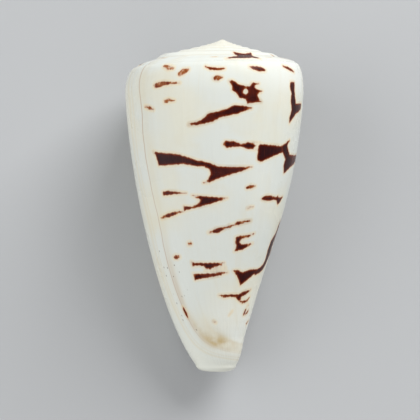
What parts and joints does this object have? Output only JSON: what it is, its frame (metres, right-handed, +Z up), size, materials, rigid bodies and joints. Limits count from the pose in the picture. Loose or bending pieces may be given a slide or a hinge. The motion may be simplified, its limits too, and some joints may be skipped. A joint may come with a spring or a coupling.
{
  "type": "cone shell",
  "caption": "Empty cone shell, porcelain white with dark maroon-brown dashes and wedges; a decorative natural object that lies on its opening.",
  "frame": {"origin": "centre of the bounding box at the surface that the shell lies on", "axes": "+Z up, +Y towards the spire, +X to the right seen from above, with the lip on the -X side"},
  "size_m": [0.0322, 0.0594, 0.0301],
  "materials": {
    "shell_porcelain": "glossy natural shell, warm and cool whites, fine growth lines, maroon-brown markings"
  },
  "bodies": {
    "root": {"shell": "shell_porcelain"}
  },
  "joints": []
}
